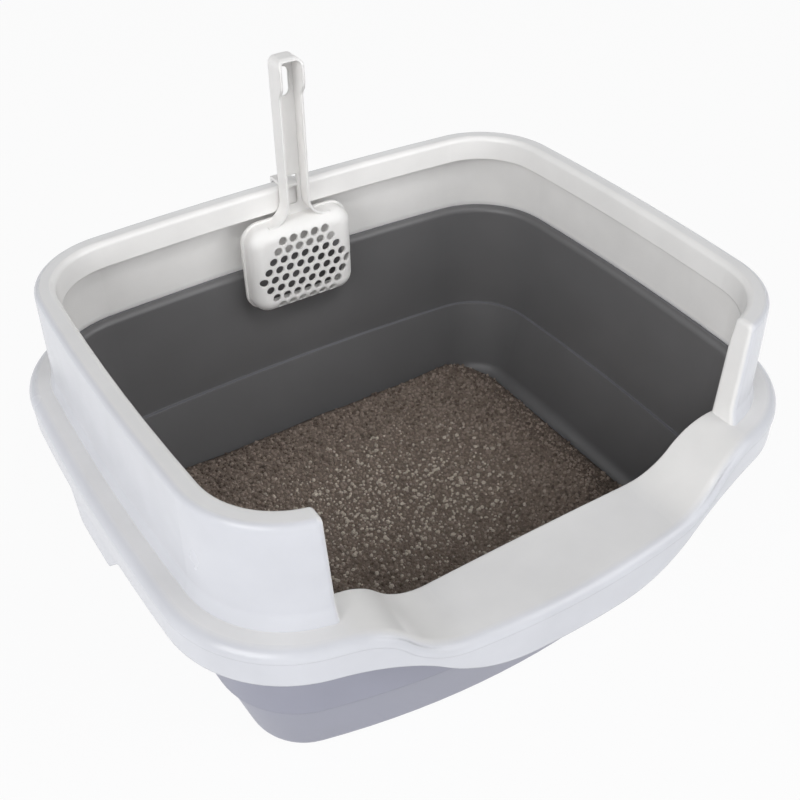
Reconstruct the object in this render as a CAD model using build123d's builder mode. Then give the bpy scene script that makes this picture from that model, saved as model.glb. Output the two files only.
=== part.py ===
from build123d import *

import os
from math import asin, atan2, cos, degrees, hypot, radians, sin, sqrt

os.makedirs("parts", exist_ok=True)

# A litter tray: a pan with a cove at its floor, a surround that sits on the pan's rim and drops to a low
# entry at the front, a scoop hooked over the back of the surround, and a bed of litter.
# Millimetres. +X is to the right seen from the entry, +Y to the back, +Z up, and the floor is at z = 0.

# Plan of the seam between the pan and the surround: a rectangle with bowed sides and round corners
half_width = 230.0
half_depth = 196.0
side_bow = 2070.0
back_bow = 2310.0
front_bow_share = 2.826
back_corner = 68.0
front_corner = 70.0
side_crown = 35.0

# The front's bow keeps its angle at the posts when the width changes
front_bow = front_bow_share * half_width

# Moulding thickness, clearance between pieces that lift apart, and how far cuts run past what they cut
wall = 2.5
lift_gap = 0.4
overrun = 5.0

# Pan
pan_height = 176.5
pan_bead_width = 6.7
pan_bead_reach = 1.2
pan_bead_round = 5.5
pan_flange_reach = 15.0
pan_flange_edge = 8.0
pan_step_height = 72.0
pan_step_width = 3.0
pan_draft = 2.5
pan_post_gap = 1.5
foot_draft = 18.5
cove_radius = 12.0

# Surround: wall, rolled rim and inner lip
rim_rise = 74.5
rim_width = 15.0
rim_round = 4.4
wall_draft = 1.6
lip_height = 20.5
lip_lean = 1.6
flare_height = 11.0
flare_reach = 3.1
flare_round = 12.0

# Surround: flange, bead and skirt
flange_drop = 8.0
bead_reach = 24.5
bead_round = 8.0
skirt_height = 29.0
skirt_step = 0.6

# Surround: low entry at the front, between two posts
post_stub = 10.7
post_round = 3.3
post_bend = 40.0
post_wrap_angle = 12.0
entry_flare = 4.0
ledge_drop = 36.0
ledge_run = 77.0
ledge_past_post = 1.5
ledge_middle_width = 38.0
ledge_inner_bow = 6000.0
ledge_lip = 8.0
front_skirt_drop = 45.0
front_skirt_run = 135.0

# Surround: finger tab on each side
tab_middle = 7.0
tab_top_width = 88.0
tab_low_width = 52.0
tab_drop = 17.0
tab_flare = 1.7
tab_round = 6.0

# Bed of litter
litter_side_gap = 5.0
litter_back_gap = 3.0
litter_front_gap = 24.0
litter_corner = 40.0
litter_depth = 12.0
litter_edge = 3.0
litter_slope_run = 30.0

# Scoop
scoop_shift = 2.5
scoop_wall = 2.2
scoop_gap = 1.2
blade_width = 97.0
blade_height = 80.0
blade_depth = 20.0
blade_corner = 15.0
blade_round = 12.0
blade_rim = 2.0
blade_below_rim = 25.0
hole_diameter = 7.6
hole_pitch = 10.1
hole_first_row = 12.0
hole_counts = (5, 6, 7, 8, 9, 8, 7, 6)
handle_width = 21.6
handle_depth = 14.0
handle_rise = 113.0
handle_round = 6.0
neck_width = 58.0
neck_round = 16.0
bulge_depth = 19.0
bulge_length = 22.0
bulge_run = 8.0
bulge_round = 8.0
hang_hole_width = 10.0
hang_hole_height = 24.0
hang_hole_margin = 10.0
window_width = 11.0
window_height = 27.0
window_rise = 11.0
window_round = 2.0
hook_width = 15.0
hook_thickness = 2.8
hook_leg = 15.0
hook_gap = 1.0
hook_round = 2.0

# Heights that the pieces share
flange_top = pan_height - flange_drop
seat_height = flange_top - wall
rim_top = pan_height + rim_rise
lip_low = rim_top - lip_height
flare_top = flange_top + flare_height
skirt_low = flange_top - skirt_height
front_skirt_low = skirt_low - front_skirt_drop
tab_low = skirt_low - tab_drop
ledge_top = flange_top - ledge_drop
floor_top = wall

# Distances out from the seam line, in plan
pan_inner = pan_bead_reach - pan_bead_width
pan_wall_low = pan_inner - pan_draft
pan_foot_inner = pan_wall_low - pan_step_width
floor_corner = pan_foot_inner - foot_draft
floor_edge = floor_corner - cove_radius
wall_foot = pan_bead_reach + lift_gap + wall
rim_outer = wall_foot - wall_draft
rim_inner = rim_outer - rim_width
lip_inner = rim_inner - lip_lean
crease = wall_foot + flare_reach
skirt_reach = bead_reach - skirt_step
bead_height = bead_round + skirt_step


def angle_of(centre, point):
    """Direction in degrees from a centre to a point."""
    return degrees(atan2(point[1] - centre[1], point[0] - centre[0]))


def corner_centre(end_centre, end_bow, radius, turn):
    """Centre of the right-hand corner circle that runs into the side arc and one end arc."""
    side_reach = side_bow - radius
    end_reach = end_bow - radius
    across = end_centre[0] - side_centre[0]
    along = end_centre[1] - side_centre[1]
    span = hypot(across, along)
    foot = (side_reach**2 - end_reach**2 + span**2) / (2 * span)
    height = turn * sqrt(side_reach**2 - foot**2)
    x = side_centre[0] + (foot * across - height * along) / span
    y = side_centre[1] + (foot * along + height * across) / span
    return (x, y)


def mirrored(point):
    """The point's twin on the other side of the middle plane."""
    return (-point[0], point[1])


side_centre = (half_width - side_bow, side_crown)
back_centre = (0, half_depth - back_bow)
front_centre = (0, front_bow - half_depth)
back_turn_centre = corner_centre(back_centre, back_bow, back_corner, 1)
front_turn_centre = corner_centre(front_centre, front_bow, front_corner, -1)
side_back = angle_of(side_centre, back_turn_centre)
side_front = angle_of(side_centre, front_turn_centre)
back_turn = angle_of(back_centre, back_turn_centre)
front_turn = angle_of(front_centre, front_turn_centre)

# Sizes of the entry, taken from where the front corners begin
entry_half_width = front_bow * cos(radians(front_turn)) - post_stub
ledge_high = entry_half_width + ledge_past_post
ledge_low = ledge_high - ledge_run
ledge_reach = (front_bow + bead_reach) * cos(radians(front_turn)) + overrun
ledge_inner = ledge_middle_width - half_depth
ledge_inner_sag = ledge_reach**2 / (2 * ledge_inner_bow)
front_skirt_high = (front_bow + skirt_reach - wall) * cos(radians(front_turn)) - overrun
pan_cut_reach = (front_bow + pan_bead_reach) * cos(radians(front_turn)) + pan_post_gap
post_turn = degrees(asin((entry_half_width - overrun) / front_bow)) - 90
front_depth = half_depth + bead_reach + overrun

# Arcs of the plan, anticlockwise: centre, radius at the seam line, start angle and turn
side_runs = [
    (side_centre, side_bow, side_front, side_back - side_front),
    (mirrored(side_centre), side_bow, 180 - side_back, side_back - side_front),
]
front_corner_runs = [
    (front_turn_centre, front_corner, front_turn, side_front - front_turn),
    (mirrored(front_turn_centre), front_corner, 180 - side_front, side_front - front_turn),
]
back_runs = [
    (back_turn_centre, back_corner, side_back, back_turn - side_back),
    (back_centre, back_bow, back_turn, 180 - 2 * back_turn),
    (mirrored(back_turn_centre), back_corner, 180 - back_turn, back_turn - side_back),
]
front_run = (front_centre, front_bow, 180 - front_turn, 180 + 2 * front_turn)
whole_runs = side_runs + front_corner_runs + back_runs + [front_run]

# The right post stands at the end of the front arc and wraps into the corner, and the ring goes on from there
post_run = (front_centre, front_bow, post_turn, front_turn - post_turn)
post_wrap_run = (front_turn_centre, front_corner, front_turn, post_wrap_angle)
past_post_turn = side_front - front_turn - post_wrap_angle
past_post_runs = [
    (front_turn_centre, front_corner, front_turn + post_wrap_angle, past_post_turn),
    (mirrored(front_turn_centre), front_corner, 180 - side_front, past_post_turn),
]


def draw_plan(reach):
    """The plan outline, grown by reach, as a face."""
    with BuildLine() as outline:
        for centre, radius, start, turn in whole_runs:
            CenterArc(centre, radius + reach, start, turn)
    make_face(outline.edges())


def section_plane(centre, radius, angle):
    """Upright plane across an arc of the plan: its x points outward and its y points up."""
    outward = (cos(radians(angle)), sin(radians(angle)))
    origin = (centre[0] + radius * outward[0], centre[1] + radius * outward[1], 0)
    return Plane(origin=origin, x_dir=(outward[0], outward[1], 0), z_dir=(outward[1], -outward[0], 0))


def carry(draw_section, runs):
    """Carries a section along arcs of the plan into the part being built."""
    for centre, radius, start, turn in runs:
        with BuildSketch(section_plane(centre, radius, start)) as section:
            draw_section(section)
        revolve(section.sketch, axis=Axis((centre[0], centre[1], 0), (0, 0, 1)), revolution_arc=turn)


def near_corner(sketch, x, y):
    """The sketch's corner nearest to a point."""
    return sketch.vertices().sort_by_distance((x, y, 0))[0]


def draw_rise(low, high, drop, x_end, z_end):
    """Front view of a level that rises in an S to each side, lowered by drop and closed at z_end."""
    run = high[0] - low[0]
    rise = high[1] - low[1]
    lean = 2 * atan2(rise, run)
    x_middle = (low[0] + high[0]) / 2 + drop * sin(lean)
    z_middle = (low[1] + high[1]) / 2 - drop * cos(lean)
    z_low = low[1] - drop
    z_high = high[1] - drop
    with BuildLine() as outline:
        Line((-low[0], z_low), (low[0], z_low))
        for side in (-1, 1):
            TangentArc((side * low[0], z_low), (side * x_middle, z_middle), tangent=(side, 0))
            TangentArc((side * high[0], z_high), (side * x_middle, z_middle), tangent=(-side, 0))
            Polyline((side * high[0], z_high), (side * x_end, z_high), (side * x_end, z_end))
        Line((-x_end, z_end), (x_end, z_end))
    make_face(outline.edges())


def draw_ledge(drop, x_end, z_end):
    """Front view of the entry's top, lowered by drop and closed at z_end."""
    draw_rise((ledge_low, ledge_top), (ledge_high, flange_top), drop, x_end, z_end)


def draw_entry(grow):
    """Front view of the gap between the posts, wider at its top, grown sideways by grow."""
    slope = entry_flare / (rim_top - flange_top)
    low = seat_height - overrun
    high = rim_top + overrun
    foot = entry_half_width + grow + slope * (low - flange_top)
    head = entry_half_width + grow + slope * (high - flange_top)
    Polygon((-foot, low), (foot, low), (head, high), (-head, high))


def draw_pan_section(section):
    """Wall of the pan: bead and flange, upper wall, step, leaning lower wall and the cove to the floor."""
    step_low = pan_step_height - wall
    flange_low = seat_height - wall
    Polygon(
        (pan_inner, pan_height),
        (pan_inner, flange_low),
        (pan_bead_reach, flange_low),
        (pan_bead_reach, pan_height),
    )
    Polygon(
        (pan_bead_reach, seat_height),
        (pan_bead_reach, flange_low),
        (pan_flange_reach - wall, flange_low),
        (pan_flange_reach - wall, seat_height - pan_flange_edge),
        (pan_flange_reach, seat_height - pan_flange_edge),
        (pan_flange_reach, seat_height),
    )
    Polygon(
        (pan_inner, flange_low),
        (pan_wall_low, step_low),
        (pan_wall_low + wall, step_low),
        (pan_inner + wall, flange_low),
    )
    Polygon(
        (pan_foot_inner, pan_step_height),
        (pan_foot_inner, step_low),
        (pan_wall_low + wall, step_low),
        (pan_wall_low + wall, pan_step_height),
    )
    Polygon(
        (pan_foot_inner, pan_step_height),
        (floor_corner, floor_top),
        (floor_edge, floor_top),
        (floor_edge, 0),
        (floor_corner + wall, 0),
        (pan_foot_inner + wall, pan_step_height),
    )
    fillet(near_corner(section, floor_corner, floor_top), cove_radius)
    fillet(near_corner(section, floor_corner + wall, 0), cove_radius + wall)
    fillet(near_corner(section, pan_inner, pan_height), pan_bead_round)


def draw_rim(section):
    """Round the outer corners of the rim, the inner lip and the wall's flare."""
    fillet(near_corner(section, rim_outer, rim_top), rim_round)
    fillet(near_corner(section, rim_inner, rim_top), rim_round)
    fillet(near_corner(section, wall_foot, flare_top), flare_round)


def draw_flange():
    """Flange, bead and skirt of the surround, square at the corners."""
    Polygon((crease, flange_top), (crease, seat_height), (bead_reach, seat_height), (bead_reach, flange_top))
    Polygon(
        (skirt_reach - wall, flange_top),
        (skirt_reach - wall, skirt_low),
        (skirt_reach, skirt_low),
        (skirt_reach, flange_top - bead_height),
        (bead_reach, flange_top - bead_height),
        (bead_reach, flange_top),
    )


def draw_bead(section):
    """Round the bead's corner outside and inside."""
    fillet(near_corner(section, bead_reach, flange_top), bead_round)
    fillet(near_corner(section, skirt_reach - wall, seat_height), bead_round - wall)


def draw_ring_section(section):
    """Wall of the surround: rolled rim with its lip, wall, flare, flange, bead and skirt."""
    Polygon(
        (rim_outer, rim_top),
        (rim_outer - wall, rim_top),
        (wall_foot - wall, flare_top),
        (crease - wall, seat_height),
        (crease, seat_height),
        (crease, flange_top),
        (wall_foot, flare_top),
    )
    Polygon(
        (rim_inner, rim_top),
        (rim_inner, rim_top - wall),
        (rim_outer, rim_top - wall),
        (rim_outer, rim_top),
    )
    Polygon(
        (rim_inner, rim_top),
        (lip_inner, lip_low),
        (lip_inner + wall, lip_low),
        (rim_inner + wall, rim_top),
    )
    draw_flange()
    draw_rim(section)
    draw_bead(section)
    fillet(near_corner(section, rim_outer - wall, rim_top - wall), rim_round - wall)
    fillet(near_corner(section, rim_inner + wall, rim_top - wall), rim_round - wall)


def draw_post_section(section):
    """The surround's rim and wall as one filled outline that stands on the entry ledge."""
    Polygon(
        (rim_outer, rim_top),
        (rim_inner, rim_top),
        (lip_inner, lip_low),
        (lip_inner, flange_top),
        (crease, flange_top),
        (wall_foot, flare_top),
    )
    draw_rim(section)
    fillet(near_corner(section, lip_inner, lip_low), post_bend)


def draw_wrap_section(section):
    """The filled post with the flange, bead and skirt, where the post wraps into the corner."""
    Polygon(
        (rim_outer, rim_top),
        (rim_inner, rim_top),
        (lip_inner, lip_low),
        (lip_inner, flange_top),
        (lip_inner, seat_height),
        (crease, seat_height),
        (crease, flange_top),
        (wall_foot, flare_top),
    )
    draw_flange()
    draw_rim(section)
    draw_bead(section)
    fillet(near_corner(section, lip_inner, lip_low), post_bend)


def draw_post_hollow(section):
    """The space inside a post, one wall in from its outline and open below."""
    Polygon(
        (rim_outer - wall, rim_top - wall),
        (rim_inner + wall, rim_top - wall),
        (lip_inner + wall, lip_low),
        (lip_inner + wall, seat_height - overrun),
        (crease - wall, seat_height - overrun),
        (crease - wall, seat_height),
        (wall_foot - wall, flare_top),
    )


def draw_side_section(section):
    """The surround's section along a side, its skirt carried down with a slight outward lean for the tab."""
    draw_ring_section(section)
    Polygon(
        (skirt_reach - wall, skirt_low),
        (skirt_reach - wall + tab_flare, tab_low),
        (skirt_reach + tab_flare, tab_low),
        (skirt_reach, skirt_low),
    )


# Base pan: one section carried round the whole plan, a floor, and a low front under the entry
with BuildPart() as base_pan:
    carry(draw_pan_section, whole_runs)
    with BuildSketch():
        draw_plan(floor_edge)
    extrude(amount=floor_top)
    with BuildSketch(Plane.XZ):
        draw_ledge(wall + lift_gap, pan_cut_reach, rim_top)
    extrude(amount=front_depth, mode=Mode.SUBTRACT)
base_pan.part.label = "base_pan"
export_step(base_pan.part, "parts/base_pan.step")

# Space under the entry ledge, between its inner lip and the front skirt
with BuildPart() as ledge_hollow:
    with BuildSketch(Plane.XZ):
        draw_ledge(wall, ledge_reach, front_skirt_low - overrun)
    extrude(amount=front_depth)
    with BuildSketch():
        with Locations(front_centre):
            Circle(front_bow + skirt_reach - wall)
        with Locations((0, ledge_inner - ledge_inner_bow)):
            Circle(ledge_inner_bow - wall, mode=Mode.INTERSECT)
    extrude(amount=rim_top, mode=Mode.INTERSECT)

# Thin layer that stands proud of the front skirt below the bead
with BuildPart() as bead_undercut:
    with BuildSketch(Plane.XZ):
        draw_ledge(bead_height, ledge_reach, front_skirt_low - overrun)
    extrude(amount=front_depth)
    with BuildSketch():
        with Locations(front_centre):
            Circle(front_bow + skirt_reach)
    extrude(amount=rim_top, mode=Mode.SUBTRACT)

# Entry ledge over the whole front arc, with its bead, front skirt and inner lip
with BuildPart() as entry_ledge:
    with BuildSketch(Plane.XZ):
        draw_ledge(0, ledge_reach, front_skirt_low)
    extrude(amount=front_depth)
    with BuildSketch():
        with BuildLine():
            front_arc = CenterArc(front_centre, front_bow + bead_reach, front_run[2], front_run[3])
            Line(front_centre, front_arc @ 0)
            Line(front_centre, front_arc @ 1)
        make_face()
        with Locations((0, ledge_inner - ledge_inner_bow)):
            Circle(ledge_inner_bow, mode=Mode.INTERSECT)
    extrude(amount=rim_top, mode=Mode.INTERSECT)
    front_edges = entry_ledge.faces().sort_by(Axis.Y)[0].edges()
    bead_edges = front_edges.filter_by(
        lambda edge: edge.bounding_box().min.Z > front_skirt_low + wall
        and edge.bounding_box().size.X > lift_gap
    )
    fillet(bead_edges, bead_round)
    add(bead_undercut.part, mode=Mode.SUBTRACT)
    add(ledge_hollow.part, mode=Mode.SUBTRACT)
    with BuildSketch(Plane.XZ.offset(-ledge_inner - overrun)):
        draw_ledge(ledge_lip, ledge_reach, front_skirt_low - overrun)
    extrude(amount=ledge_inner_sag + wall + 2 * overrun, mode=Mode.SUBTRACT)
    with BuildSketch(Plane.XZ):
        draw_rise(
            (front_skirt_high - front_skirt_run, front_skirt_low),
            (front_skirt_high, skirt_low),
            0,
            ledge_reach,
            front_skirt_low - overrun,
        )
    extrude(amount=front_depth, mode=Mode.SUBTRACT)

# Space inside the right post, one wall behind its end face
with BuildPart() as post_hollow:
    carry(draw_post_hollow, [post_run, post_wrap_run])
    with BuildSketch(Plane.XZ):
        draw_entry(wall)
    extrude(amount=front_depth, mode=Mode.SUBTRACT)

# Right post: closes the end of the raised wall
with BuildPart() as entry_post:
    carry(draw_post_section, [post_run])
    carry(draw_wrap_section, [post_wrap_run])
    with BuildSketch(Plane.XZ):
        draw_entry(0)
    extrude(amount=front_depth, mode=Mode.SUBTRACT)
    end_edges = entry_post.faces().sort_by(Axis.X)[0].edges()
    fillet(end_edges.filter_by(lambda edge: edge.center().Z > flange_top + lift_gap), post_round)
    add(post_hollow.part, mode=Mode.SUBTRACT)

# Rim surround: the raised ring with its tabs, two posts and the entry ledge
with BuildPart() as rim_surround:
    carry(draw_ring_section, past_post_runs + back_runs)
    carry(draw_side_section, side_runs)
    with BuildSketch(Plane.YZ) as tab_cut:
        Polygon(
            (-front_depth, skirt_low),
            (-front_depth, tab_low - overrun),
            (front_depth, tab_low - overrun),
            (front_depth, skirt_low),
            (tab_middle + tab_top_width / 2, skirt_low),
            (tab_middle + tab_low_width / 2, tab_low),
            (tab_middle - tab_low_width / 2, tab_low),
            (tab_middle - tab_top_width / 2, skirt_low),
        )
        for side in (-1, 1):
            fillet(near_corner(tab_cut, tab_middle + side * tab_low_width / 2, tab_low), tab_round)
            fillet(near_corner(tab_cut, tab_middle + side * tab_top_width / 2, skirt_low), tab_round)
    extrude(amount=half_width + bead_reach + overrun, both=True, mode=Mode.SUBTRACT)
    add(entry_post.part)
    mirror(entry_post.part, about=Plane.YZ)
    add(entry_ledge.part)
rim_surround.part.label = "rim_surround"
export_step(rim_surround.part, "parts/rim_surround.step")

# Bed of litter: level in the middle and sloped to a thin edge
litter_width = 2 * (half_width + floor_edge - litter_side_gap)
litter_length = 2 * (half_depth + floor_edge) - litter_back_gap - litter_front_gap
litter_middle = (litter_front_gap - litter_back_gap) / 2


def draw_litter(inset):
    """Plan of the litter, drawn in by inset."""
    with Locations((0, litter_middle)):
        RectangleRounded(litter_width - 2 * inset, litter_length - 2 * inset, litter_corner - inset)


with BuildPart() as litter_bed:
    with BuildSketch(Plane.XY.offset(floor_top)):
        draw_litter(0)
    extrude(amount=litter_edge)
    with BuildSketch(Plane.XY.offset(floor_top + litter_edge)):
        draw_litter(0)
    with BuildSketch(Plane.XY.offset(floor_top + litter_depth)):
        draw_litter(litter_slope_run)
    loft()
litter_bed.part.label = "litter_bed"
export_step(litter_bed.part, "parts/litter_bed.step")

# Scoop, hung on the back rim: its front views are drawn with x to the right and y up from the rim's top
scoop_back = half_depth + lip_inner - scoop_gap
scoop_plane = Plane(origin=(scoop_shift, scoop_back, rim_top), x_dir=(1, 0, 0), z_dir=(0, -1, 0))
blade_middle = -blade_below_rim - blade_height / 2


def draw_blade(grow):
    """Front view of the scoop's blade, grown by grow."""
    with Locations((0, blade_middle)):
        RectangleRounded(blade_width + 2 * grow, blade_height + 2 * grow, blade_corner + grow)


def draw_handle(sketch, inset):
    """Front view of the handle and its flared neck, drawn in by inset."""
    half = handle_width / 2 - inset
    head = handle_rise - inset
    foot = -blade_below_rim - inset
    neck_half = neck_width / 2
    Polygon(
        (-neck_half, foot),
        (-neck_half, foot - scoop_wall),
        (neck_half, foot - scoop_wall),
        (neck_half, foot),
        (half, foot),
        (half, head),
        (-half, head),
        (-half, foot),
    )
    for side in (-1, 1):
        fillet(near_corner(sketch, side * half, foot), neck_round + inset)
        fillet(near_corner(sketch, side * half, head), handle_round - inset)


# Handle: a channel open to the front, deeper near its top
with BuildPart() as scoop_handle:
    with BuildSketch(scoop_plane) as handle_outline:
        draw_handle(handle_outline, 0)
    extrude(amount=bulge_depth)
    side_plane = Plane(origin=(scoop_shift, scoop_back, rim_top), x_dir=(0, -1, 0), z_dir=(-1, 0, 0))
    with BuildSketch(side_plane) as handle_side:
        bulge_low = handle_rise - bulge_length
        Polygon(
            (0, -blade_below_rim - scoop_wall),
            (handle_depth, -blade_below_rim - scoop_wall),
            (handle_depth, bulge_low - bulge_run),
            (bulge_depth, bulge_low),
            (bulge_depth, handle_rise),
            (0, handle_rise),
        )
        fillet(near_corner(handle_side, handle_depth, bulge_low - bulge_run), bulge_round)
        fillet(near_corner(handle_side, bulge_depth, bulge_low), bulge_round)
        fillet(near_corner(handle_side, bulge_depth, handle_rise), bulge_round)
    extrude(amount=neck_width, both=True, mode=Mode.INTERSECT)
    with BuildSketch(scoop_plane.offset(scoop_wall)) as handle_inside:
        draw_handle(handle_inside, scoop_wall)
    extrude(amount=bulge_depth, mode=Mode.SUBTRACT)
    with BuildSketch(scoop_plane):
        with Locations((0, handle_rise - hang_hole_margin - hang_hole_height / 2)):
            SlotOverall(hang_hole_height, hang_hole_width, rotation=90)
        with Locations((0, window_rise - window_height / 2)):
            RectangleRounded(window_width, window_height, window_round)
    extrude(amount=scoop_wall, mode=Mode.SUBTRACT)

# Space inside the blade
with BuildPart() as blade_hollow:
    with BuildSketch(scoop_plane.offset(-overrun)):
        draw_blade(-scoop_wall)
    extrude(amount=blade_depth - scoop_wall + overrun)
    fillet(blade_hollow.faces().sort_by(Axis.Y)[0].edges(), blade_round - scoop_wall)

# Scoop: perforated blade with a rim, the handle, and a hook over the surround's back rim
with BuildPart() as litter_scoop:
    with BuildSketch(scoop_plane):
        draw_blade(0)
    extrude(amount=blade_depth)
    fillet(litter_scoop.faces().sort_by(Axis.Y)[0].edges(), blade_round)
    with BuildSketch(scoop_plane):
        draw_blade(blade_rim)
    extrude(amount=scoop_wall)
    add(blade_hollow.part, mode=Mode.SUBTRACT)
    with BuildSketch(scoop_plane):
        for row, count in enumerate(hole_counts):
            row_height = -blade_below_rim - hole_first_row - row * hole_pitch * sin(radians(60))
            with Locations((0, row_height)):
                with GridLocations(hole_pitch, hole_pitch, count, 1):
                    Circle(hole_diameter / 2)
    extrude(amount=blade_depth + overrun, mode=Mode.SUBTRACT)
    add(scoop_handle.part)
    with BuildSketch(Plane.YZ.offset(scoop_shift)) as hook_side:
        hook_front = scoop_back - scoop_wall
        leg_inner = half_depth + rim_outer + hook_gap
        leg_outer = leg_inner + hook_thickness
        Polygon(
            (hook_front, rim_top),
            (leg_inner, rim_top),
            (leg_inner, rim_top - hook_leg),
            (leg_outer, rim_top - hook_leg),
            (leg_outer, rim_top + hook_thickness),
            (hook_front, rim_top + hook_thickness),
        )
        fillet(near_corner(hook_side, leg_outer, rim_top + hook_thickness), hook_round)
    extrude(amount=hook_width / 2, both=True)
litter_scoop.part.label = "litter_scoop"
export_step(litter_scoop.part, "parts/litter_scoop.step")
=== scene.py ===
import math
import random

import bmesh
import bpy
from mathutils import Euler, Matrix, Vector


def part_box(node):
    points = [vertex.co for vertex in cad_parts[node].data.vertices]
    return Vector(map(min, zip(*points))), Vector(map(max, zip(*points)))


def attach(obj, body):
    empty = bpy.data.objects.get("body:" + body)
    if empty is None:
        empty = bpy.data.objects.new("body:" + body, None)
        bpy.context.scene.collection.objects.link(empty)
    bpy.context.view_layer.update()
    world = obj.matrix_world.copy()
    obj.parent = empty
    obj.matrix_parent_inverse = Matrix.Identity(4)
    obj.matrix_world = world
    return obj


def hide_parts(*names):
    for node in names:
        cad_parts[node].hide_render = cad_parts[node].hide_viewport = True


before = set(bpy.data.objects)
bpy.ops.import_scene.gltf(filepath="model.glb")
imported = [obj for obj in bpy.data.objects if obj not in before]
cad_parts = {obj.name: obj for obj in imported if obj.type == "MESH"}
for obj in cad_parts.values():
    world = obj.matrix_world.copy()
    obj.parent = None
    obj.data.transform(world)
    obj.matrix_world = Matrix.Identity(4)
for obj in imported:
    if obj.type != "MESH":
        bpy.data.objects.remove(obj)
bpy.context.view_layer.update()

# Everything is in metres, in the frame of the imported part.
MM = 0.001

# Camera, found from the outlines of the tray in the photograph
CAMERA_PLACE = (-0.3531, -0.5473, 0.6635)
CAMERA_YAW = math.radians(32.417)
CAMERA_PITCH = math.radians(-38.586)
CAMERA_ROLL = math.radians(-0.566)
CAMERA_LENS = 47.75
CAMERA_SENSOR = 36.0

# Colours, linear
WHITE = (1, 1, 1, 1)
# The pan is one dark grey plastic: its inside is painted darker as painted shade, and its outside lighter and
# bluer as painted light and painted reflection of the bright surroundings
PAN_INSIDE_PAINTED_SHADE = (0.150, 0.149, 0.152, 1)
PAN_OUTSIDE_PAINTED_LIGHT = (0.30, 0.305, 0.37, 1)
# The surround is one white plastic: its inside is painted lighter as painted light, and its outside darker as
# painted shade
SURROUND_INSIDE_PAINTED_LIGHT = (0.90, 0.89, 0.875, 1)
SURROUND_OUTSIDE_PAINTED_SHADE = (0.655, 0.665, 0.705, 1)
SCOOP_PALE = (0.88, 0.87, 0.855, 1)
SCOOP_DEEP = (0.86, 0.845, 0.825, 1)
LITTER_DARK = (0.19, 0.15, 0.125, 1)
LITTER_MIDDLE = (0.46, 0.375, 0.315, 1)
LITTER_PALE = (0.85, 0.77, 0.67, 1)

# Moulded plastic: least and most roughness, and strength of the fine grain
PAN_ROUGH = (0.34, 0.46)
PAN_GRAIN = 0.12
SURROUND_ROUGH = (0.2, 0.3)
SURROUND_GRAIN = 0.05
SCOOP_ROUGH = (0.36, 0.48)
SCOOP_GRAIN = 0.08

# How far a wall faces away from the middle where its inside tone ends and its outside tone is reached, for
# the painted light and shade of the plastics
FACING_INSIDE = -0.25
FACING_OUTSIDE = 0.55

# Cloudy sheen and fine grain of the moulded plastic, and the radius that its edges show
CLOUD_SCALE = 22.0
CLOUD_DETAIL = 4.0
CLOUD_STOPS = [(0.3, (0.94, 0.94, 0.94, 1)), (0.7, WHITE)]
MOULD_SCALE = 1400.0
MOULD_DETAIL = 2.0
MOULD_DEPTH = 0.4 * MM
EDGE_ROUND = 1.3 * MM
EDGE_SAMPLES = 6

# Look of the litter, from dark to pale grains, with dust on them
LITTER_STOPS = [(0.0, LITTER_DARK), (0.55, LITTER_MIDDLE), (0.88, LITTER_MIDDLE), (1.0, LITTER_PALE)]
LITTER_ROUGH = 0.92
LITTER_SHINE = 0.2
DUST_SCALE = 900.0
DUST_DETAIL = 3.0
DUST_STOPS = [(0.3, (0.72, 0.72, 0.72, 1)), (0.7, (1.1, 1.1, 1.1, 1))]
DUST_BUMP = 0.5
DUST_DEPTH = 0.6 * MM

# Heap of litter: how finely it is divided, its shape, and how far it reaches past the solid bed
BED_RINGS = 40
BED_TURNS = 200
BED_CORNER = 40.0 * MM
BED_SLOPE = 34.0 * MM
BED_EDGE = 2.0 * MM
BED_TOP = 11.0 * MM
BED_REACH = 11.0 * MM
BED_SIDE_REACH = 5.0 * MM
HEAP_TINT = 0.2
TINY = 1e-9

# Uneven top of the heap: height, phase of the waves per metre and at the start, share of the short waves
BED_WAVE = 0.6 * MM
WAVE_LONG = Vector((41, 37))
WAVE_START = Vector((1.3, 0.4))
WAVE_SHORT = Vector((93, -71))
WAVE_SHORT_SHARE = 0.6

# Loose grains: spacing, radius, how many meshes hold them, and how their shape, depth and tone differ
GRAIN_SEED = 7
GRAIN_STEP = 3.0 * MM
GRAIN_SMALL = 1.1 * MM
GRAIN_LARGE = 2.3 * MM
GRAIN_PIECES = 3
GRAIN_SIZE_POWER = 1.8
GRAIN_SQUEEZE_SHARES = (0.7, 1.15)
GRAIN_CORNER_SHARES = (0.78, 1.12)
GRAIN_RISE_SHARES = (-0.2, 0.75)
# Painted light on the grains in the middle of the litter and painted shade on them near the walls: its
# strength, and the closeness to the middle at which grains are neither lighter nor darker
PAINTED_LIGHT_LIFT = 0.65
PAINTED_LIGHT_LEVEL = 0.55

# Floor and world light, which is stronger at the horizon than overhead
FLOOR_REACH = 8.0
FLOOR_DROP = 0.2 * MM
FLOOR_COLOUR = (0.88, 0.88, 0.89, 1)
FLOOR_WHITE_SHARE = 0.93
SKY_COLOUR = (0.97, 0.98, 1.0, 1)
SKY_LOW = 1.0
SKY_HIGH = 0.1

# Soft square lamps in front of the tray, with their places and powers
LAMPS = [("front_left", (-1.9, -1.0, 1.1), 25.0), ("front_right", (1.2, -1.7, 1.1), 16.5)]
LAMP_SIZE = 1.4
LAMP_AIM = (0, 0, 0.1)

# Soft lamp that shines over the entry into the tray
INSIDE_PLACE = (0.0, -0.75, 1.35)
INSIDE_AIM = (0.02, 0.15, 0.1)
INSIDE_POWER = 29.0
INSIDE_CONE = math.radians(19.0)
INSIDE_BLEND = 1.0
INSIDE_SIZE = 0.2


def link(tree, source, target):
    """Joins an output socket to an input socket."""
    tree.links.new(source, target)


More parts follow.
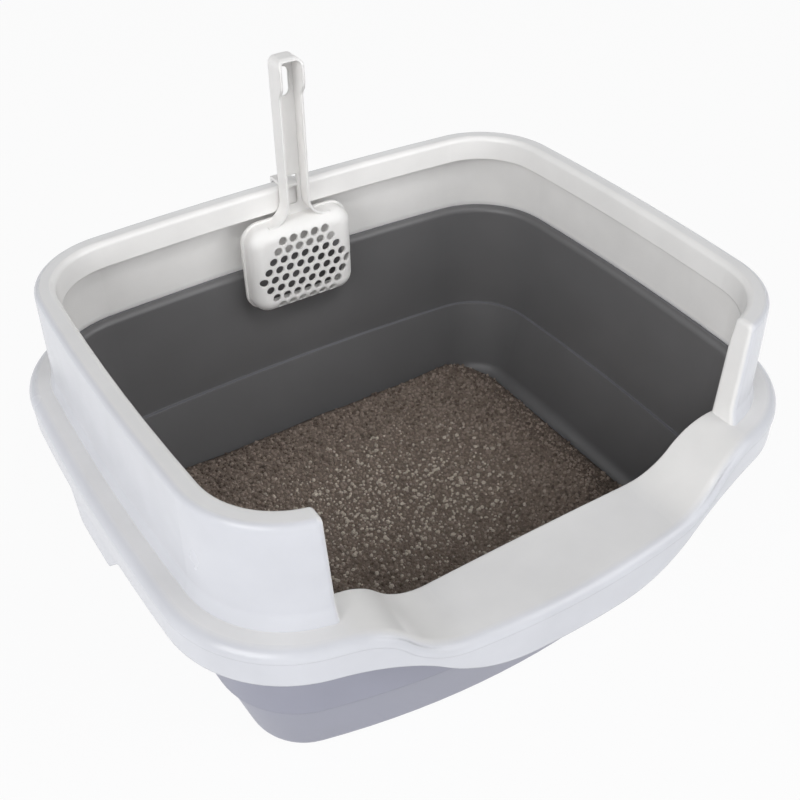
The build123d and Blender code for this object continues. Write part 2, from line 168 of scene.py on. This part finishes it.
def node(tree, kind, **values):
    """A shader node with its settings and input values."""
    made = tree.nodes.new(kind)
    for name, value in values.items():
        if name in made.inputs:
            made.inputs[name].default_value = value
        else:
            setattr(made, name, value)
    return made


def put(name, data):
    """A new object in the scene."""
    made = bpy.data.objects.new(name, data)
    bpy.context.scene.collection.objects.link(made)
    return made


def new_material(name):
    """An empty node material with its output and a shader."""
    material = bpy.data.materials.new(name)
    material.use_nodes = True
    tree = material.node_tree
    tree.nodes.clear()
    output = tree.nodes.new("ShaderNodeOutputMaterial")
    shader = tree.nodes.new("ShaderNodeBsdfPrincipled")
    link(tree, shader.outputs["BSDF"], output.inputs["Surface"])
    return material, tree, shader


def noise(tree, scale, detail):
    """Noise in the object's own space."""
    place = tree.nodes.new("ShaderNodeTexCoord")
    made = node(tree, "ShaderNodeTexNoise", Scale=scale, Detail=detail)
    link(tree, place.outputs["Object"], made.inputs["Vector"])
    return made


def ramp(tree, source, stops):
    """A colour ramp over a value, given as places and colours."""
    made = tree.nodes.new("ShaderNodeValToRGB")
    elements = made.color_ramp.elements
    while len(elements) < len(stops):
        elements.new(1.0)
    for element, (place, colour) in zip(elements, stops):
        element.position = place
        element.color = colour
    link(tree, source, made.inputs["Fac"])
    return made


def base_colour_from(tree, shader, tones, shade):
    """Base colour from a ramp of tones, darkened or lightened by a second ramp."""
    mixed = node(tree, "ShaderNodeMix", data_type="RGBA", blend_type="MULTIPLY")
    mixed.inputs["Factor"].default_value = 1.0
    link(tree, tones.outputs["Color"], mixed.inputs["A"])
    link(tree, shade.outputs["Color"], mixed.inputs["B"])
    link(tree, mixed.outputs["Result"], shader.inputs["Base Color"])


def roughness_from(tree, shader, source, limits):
    """Roughness that follows a value between two limits."""
    span = node(tree, "ShaderNodeMapRange")
    span.inputs["To Min"].default_value, span.inputs["To Max"].default_value = limits
    link(tree, source, span.inputs["Value"])
    link(tree, span.outputs["Result"], shader.inputs["Roughness"])


def bump_from(tree, shader, source, strength, distance):
    """Fine bump on the shader's normal."""
    made = node(tree, "ShaderNodeBump", Strength=strength, Distance=distance)
    link(tree, source, made.inputs["Height"])
    link(tree, made.outputs["Normal"], shader.inputs["Normal"])
    return made


def facing_out(tree):
    """0 on walls that face the middle of the tray, 1 on walls that face away from it, for the painted light
    and shade of two tones.
    """
    shape = tree.nodes.new("ShaderNodeNewGeometry")
    flat = node(tree, "ShaderNodeVectorMath", operation="MULTIPLY")
    flat.inputs[1].default_value = (1, 1, 0)
    link(tree, shape.outputs["Position"], flat.inputs[0])
    unit = node(tree, "ShaderNodeVectorMath", operation="NORMALIZE")
    link(tree, flat.outputs["Vector"], unit.inputs[0])
    along = node(tree, "ShaderNodeVectorMath", operation="DOT_PRODUCT")
    link(tree, unit.outputs["Vector"], along.inputs[0])
    link(tree, shape.outputs["Normal"], along.inputs[1])
    span = node(tree, "ShaderNodeMapRange", interpolation_type="SMOOTHSTEP")
    span.inputs["From Min"].default_value = FACING_INSIDE
    span.inputs["From Max"].default_value = FACING_OUTSIDE
    link(tree, along.outputs["Value"], span.inputs["Value"])
    return span.outputs["Result"]


def moulded(name, inside, outside, rough, grain):
    """Moulded plastic: painted light and shade as two tones by the way a wall faces, cloudy sheen and a fine
    moulded grain.
    """
    material, tree, shader = new_material(name)
    tones = ramp(tree, facing_out(tree), [(0.0, inside), (1.0, outside)])
    clouds = noise(tree, CLOUD_SCALE, CLOUD_DETAIL)
    shade = ramp(tree, clouds.outputs["Fac"], CLOUD_STOPS)
    base_colour_from(tree, shader, tones, shade)
    roughness_from(tree, shader, clouds.outputs["Fac"], rough)
    fine = noise(tree, MOULD_SCALE, MOULD_DETAIL)
    bump = bump_from(tree, shader, fine.outputs["Fac"], grain, MOULD_DEPTH)
    edges = node(tree, "ShaderNodeBevel", samples=EDGE_SAMPLES, Radius=EDGE_ROUND)
    link(tree, edges.outputs["Normal"], bump.inputs["Normal"])
    return material


def litter_material(name):
    """Dull mineral grains whose tone differs from grain to grain."""
    material, tree, shader = new_material(name)
    tint = node(tree, "ShaderNodeAttribute", attribute_name="tint")
    tones = ramp(tree, tint.outputs["Fac"], LITTER_STOPS)
    dust = noise(tree, DUST_SCALE, DUST_DETAIL)
    shade = ramp(tree, dust.outputs["Fac"], DUST_STOPS)
    base_colour_from(tree, shader, tones, shade)
    shader.inputs["Roughness"].default_value = LITTER_ROUGH
    shader.inputs["Specular IOR Level"].default_value = LITTER_SHINE
    bump_from(tree, shader, dust.outputs["Fac"], DUST_BUMP, DUST_DEPTH)
    return material


def dress(name, material):
    """Gives a CAD node its material."""
    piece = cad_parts[name]
    piece.data.materials.clear()
    piece.data.materials.append(material)


def rounded_reach(half, angle):
    """Point on a rounded rectangle about its middle, in a direction from there."""
    ahead = Vector((math.cos(angle), math.sin(angle)))
    inner = half - Vector((BED_CORNER, BED_CORNER))
    along_x = half.x / max(abs(ahead.x), TINY)
    along_y = half.y / max(abs(ahead.y), TINY)
    point = ahead * min(along_x, along_y)
    if abs(point.x) <= inner.x or abs(point.y) <= inner.y:
        return point
    centre = Vector((math.copysign(inner.x, ahead.x), math.copysign(inner.y, ahead.y)))
    along = centre.dot(ahead)
    return ahead * (along + math.sqrt(along**2 - centre.length_squared + BED_CORNER**2))


def litter_height(x, y):
    """Height of the litter's top: level at the back and left, falling away to the right and the front."""
    margin = min(top_high.x - x, y - top_low.y)
    share = min(1.0, max(0.0, margin / BED_SLOPE))
    rise = share * share * (3 - 2 * share)
    long_wave = math.sin(WAVE_LONG.x * x + WAVE_START.x) * math.cos(WAVE_LONG.y * y + WAVE_START.y)
    short_wave = math.sin(WAVE_SHORT.x * x + WAVE_SHORT.y * y)
    wave = long_wave + WAVE_SHORT_SHARE * short_wave
    return bed_low.z + BED_EDGE + (BED_TOP - BED_EDGE) * rise + BED_WAVE * rise * wave


def add_object(name, mesh, body, material):
    """A new piece in the scene that rides on a body."""
    piece = put(name, mesh)
    mesh.materials.append(material)
    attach(piece, body)
    return piece


def build_bed():
    """The litter under the top grains: a closed, gently uneven heap that leans on the foot of the walls."""
    foot_middle = Vector((bed_low.x + bed_high.x, bed_low.y + bed_high.y)) / 2
    foot_half = Vector((bed_high.x - bed_low.x, bed_high.y - bed_low.y)) / 2
    angles = [2 * math.pi * turn / BED_TURNS for turn in range(BED_TURNS)]
    shape = bmesh.new()
    rings = []
    for ring in range(1, BED_RINGS + 1):
        places = [top_middle + rounded_reach(top_half, angle) * ring / BED_RINGS for angle in angles]
        rings.append([shape.verts.new((*place, litter_height(*place))) for place in places])
    feet = [foot_middle + rounded_reach(foot_half, angle) for angle in angles]
    rings.append([shape.verts.new((*place, bed_low.z)) for place in feet])
    top = shape.verts.new((*top_middle, litter_height(*top_middle)))
    for turn in range(BED_TURNS):
        after = (turn + 1) % BED_TURNS
        shape.faces.new((top, rings[0][turn], rings[0][after]))
        for inner, outer in zip(rings, rings[1:]):
            shape.faces.new((inner[turn], outer[turn], outer[after], inner[after]))
    shape.faces.new(list(reversed(rings[-1])))
    mesh = bpy.data.meshes.new("litter_heap")
    shape.to_mesh(mesh)
    shape.free()
    for face in mesh.polygons:
        face.use_smooth = True
    tint = mesh.attributes.new("tint", "FLOAT", "POINT")
    tint.data.foreach_set("value", [HEAP_TINT] * len(mesh.vertices))
    return mesh


def grain_places(chance):
    """Places for the top grains on a shaken grid, inside the litter's edge."""
    columns = int((top_high.x - top_low.x) / GRAIN_STEP)
    rows = int((top_high.y - top_low.y) / GRAIN_STEP)
    for column in range(columns + 1):
        for row in range(rows + 1):
            x = top_low.x + (column + chance.random()) * GRAIN_STEP
            y = top_low.y + (row + chance.random()) * GRAIN_STEP
            offset = Vector((x, y)) - top_middle
            margin = rounded_reach(top_half, math.atan2(offset.y, offset.x)).length - offset.length
            if margin > GRAIN_LARGE * chance.random():
                yield x, y


def grain_tone_with_painted_light(x, y, chance):
    """Tone of a grain by chance, with painted light that makes it paler in the middle of the litter and
    painted shade that makes it darker near the walls.
    """
    away = Vector(((x - top_middle.x) / top_half.x, (y - top_middle.y) / top_half.y))
    painted_light_share = max(0.0, 1 - away.x**2) * max(0.0, 1 - away.y**2)
    return min(1.0, max(0.0, chance.random() + PAINTED_LIGHT_LIFT * (painted_light_share - PAINTED_LIGHT_LEVEL)))


def build_grains():
    """The loose grains on the heap, as a few meshes of small angular stones."""
    chance = random.Random(GRAIN_SEED)
    stone = bmesh.new()
    bmesh.ops.create_icosphere(stone, subdivisions=1, radius=1.0)
    corners = [vertex.co.copy() for vertex in stone.verts]
    sides = [[vertex.index for vertex in face.verts] for face in stone.faces]
    stone.free()
    lists = [([], [], []) for _ in range(GRAIN_PIECES)]
    for x, y in grain_places(chance):
        share = (x - top_low.x) / (top_high.x - top_low.x)
        points, faces, tints = lists[min(GRAIN_PIECES - 1, max(0, int(share * GRAIN_PIECES)))]
        size = GRAIN_SMALL + (GRAIN_LARGE - GRAIN_SMALL) * chance.random() ** GRAIN_SIZE_POWER
        turn = Euler([chance.uniform(0, 2 * math.pi) for _ in range(3)]).to_matrix()
        squeeze = Vector([chance.uniform(*GRAIN_SQUEEZE_SHARES) for _ in range(3)])
        level = litter_height(x, y) + chance.uniform(*GRAIN_RISE_SHARES) * size
        centre = Vector((x, y, max(level, bed_low.z + size)))
        # Each grain's tone by chance, with painted light in the middle of the litter and painted shade near
        # the walls
        tone = grain_tone_with_painted_light(x, y, chance)
        first = len(points)
        for corner in corners:
            rough = corner * chance.uniform(*GRAIN_CORNER_SHARES) * size
            spot = Vector((rough.x * squeeze.x, rough.y * squeeze.y, rough.z * squeeze.z))
            points.append(centre + turn @ spot)
            tints.append(tone)
        faces.extend([[first + index for index in side] for side in sides])
    for number, (points, faces, tints) in enumerate(lists):
        mesh = bpy.data.meshes.new(f"litter_grains_{number + 1}")
        mesh.from_pydata(points, [], faces)
        tint = mesh.attributes.new("tint", "FLOAT", "POINT")
        tint.data.foreach_set("value", tints)
        yield mesh


def add_camera():
    """The camera at the photograph's place and angle."""
    data = bpy.data.cameras.new("camera")
    data.lens = CAMERA_LENS
    data.sensor_width = CAMERA_SENSOR
    camera = put("camera", data)
    ahead = Vector(
        (
            math.sin(CAMERA_YAW) * math.cos(CAMERA_PITCH),
            math.cos(CAMERA_YAW) * math.cos(CAMERA_PITCH),
            math.sin(CAMERA_PITCH),
        )
    )
    level = Vector((math.cos(CAMERA_YAW), -math.sin(CAMERA_YAW), 0))
    upright = level.cross(ahead)
    right = math.cos(CAMERA_ROLL) * level + math.sin(CAMERA_ROLL) * upright
    up = -math.sin(CAMERA_ROLL) * level + math.cos(CAMERA_ROLL) * upright
    turn = Matrix((right, up, -ahead)).transposed()
    camera.matrix_world = Matrix.Translation(CAMERA_PLACE) @ turn.to_4x4()
    bpy.context.scene.camera = camera


def seen_directly(tree):
    """1 for what the camera sees, in itself or through gloss or clear pieces."""
    path = tree.nodes.new("ShaderNodeLightPath")
    gloss = node(tree, "ShaderNodeMath", operation="MAXIMUM")
    link(tree, path.outputs["Is Camera Ray"], gloss.inputs[0])
    link(tree, path.outputs["Is Glossy Ray"], gloss.inputs[1])
    clear = node(tree, "ShaderNodeMath", operation="MAXIMUM")
    link(tree, gloss.outputs[0], clear.inputs[0])
    link(tree, path.outputs["Is Transmission Ray"], clear.inputs[1])
    return clear.outputs[0]


def add_floor():
    """A wide white floor that keeps a faint shadow."""
    mesh = bpy.data.meshes.new("floor")
    near = [(-FLOOR_REACH, -FLOOR_REACH, 0), (FLOOR_REACH, -FLOOR_REACH, 0)]
    far = [(FLOOR_REACH, FLOOR_REACH, 0), (-FLOOR_REACH, FLOOR_REACH, 0)]
    mesh.from_pydata(near + far, [], [(0, 1, 2, 3)])
    floor = put("floor", mesh)
    floor.location.z = -FLOOR_DROP
    material = bpy.data.materials.new("floor_white")
    material.use_nodes = True
    tree = material.node_tree
    tree.nodes.clear()
    output = tree.nodes.new("ShaderNodeOutputMaterial")
    matt = node(tree, "ShaderNodeBsdfDiffuse", Color=FLOOR_COLOUR)
    glow = node(tree, "ShaderNodeEmission", Color=WHITE, Strength=1.0)
    much = node(tree, "ShaderNodeMath", operation="MULTIPLY")
    link(tree, seen_directly(tree), much.inputs[0])
    much.inputs[1].default_value = FLOOR_WHITE_SHARE
    both = tree.nodes.new("ShaderNodeMixShader")
    link(tree, much.outputs[0], both.inputs["Fac"])
    link(tree, matt.outputs["BSDF"], both.inputs[1])
    link(tree, glow.outputs["Emission"], both.inputs[2])
    link(tree, both.outputs["Shader"], output.inputs["Surface"])
    mesh.materials.append(material)


def add_world():
    """Soft studio light, stronger from the sides than from above, with a white background."""
    world = bpy.data.worlds.new("studio")
    bpy.context.scene.world = world
    world.use_nodes = True
    tree = world.node_tree
    tree.nodes.clear()
    output = tree.nodes.new("ShaderNodeOutputWorld")
    even = node(tree, "ShaderNodeBackground", Color=SKY_COLOUR)
    place = tree.nodes.new("ShaderNodeTexCoord")
    split = tree.nodes.new("ShaderNodeSeparateXYZ")
    link(tree, place.outputs["Generated"], split.inputs["Vector"])
    span = node(tree, "ShaderNodeMapRange")
    span.inputs["To Min"].default_value = SKY_LOW
    span.inputs["To Max"].default_value = SKY_HIGH
    link(tree, split.outputs["Z"], span.inputs["Value"])
    link(tree, span.outputs["Result"], even.inputs["Strength"])
    white = node(tree, "ShaderNodeBackground", Color=WHITE, Strength=1.0)
    both = tree.nodes.new("ShaderNodeMixShader")
    link(tree, seen_directly(tree), both.inputs["Fac"])
    link(tree, even.outputs["Background"], both.inputs[1])
    link(tree, white.outputs["Background"], both.inputs[2])
    link(tree, both.outputs["Shader"], output.inputs["Surface"])


def aim_lamp(data, place, target):
    """Puts a lamp at a place and turns it to what it looks at."""
    lamp = put(data.name, data)
    lamp.location = place
    aim = Vector(target) - Vector(place)
    lamp.rotation_euler = aim.to_track_quat("-Z", "Y").to_euler()


def add_lamp(name, place, power):
    """A soft square lamp that looks at the tray."""
    data = bpy.data.lights.new(name, "AREA")
    data.shape = "SQUARE"
    data.size = LAMP_SIZE
    data.energy = power
    aim_lamp(data, place, LAMP_AIM)


def add_inside_lamp():
    """A soft lamp in front of the tray that shines over the entry into it."""
    data = bpy.data.lights.new("inside", "SPOT")
    data.energy = INSIDE_POWER
    data.spot_size = INSIDE_CONE
    data.spot_blend = INSIDE_BLEND
    data.shadow_soft_size = INSIDE_SIZE
    aim_lamp(data, INSIDE_PLACE, INSIDE_AIM)


# The solid bed's box, and the outline of the litter's top, which reaches past it
bed_low, bed_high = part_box("litter_bed")
top_low = Vector((bed_low.x - BED_REACH, bed_low.y))
top_high = Vector((bed_high.x + BED_SIDE_REACH, bed_high.y + BED_REACH))
top_middle = (top_low + top_high) / 2
top_half = (top_high - top_low) / 2

# The pan and the surround get painted shade on one side of their walls and painted light on the other, by the
# way the walls face
dress("base_pan", moulded("pan_plastic", PAN_INSIDE_PAINTED_SHADE, PAN_OUTSIDE_PAINTED_LIGHT, PAN_ROUGH, PAN_GRAIN))
surround_look = moulded("surround_plastic", SURROUND_INSIDE_PAINTED_LIGHT, SURROUND_OUTSIDE_PAINTED_SHADE, SURROUND_ROUGH, SURROUND_GRAIN)
dress("rim_surround", surround_look)
dress("litter_scoop", moulded("scoop_plastic", SCOOP_PALE, SCOOP_DEEP, SCOOP_ROUGH, SCOOP_GRAIN))

grain_look = litter_material("litter_grain")
heap = add_object("litter_heap", build_bed(), "tray", grain_look)
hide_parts("litter_bed")
for grains in build_grains():
    add_object(grains.name, grains, "tray", grain_look)

add_camera()
add_floor()
add_world()
for name, place, power in LAMPS:
    add_lamp(name, place, power)
add_inside_lamp()

bpy.context.scene.view_settings.view_transform = "Standard"
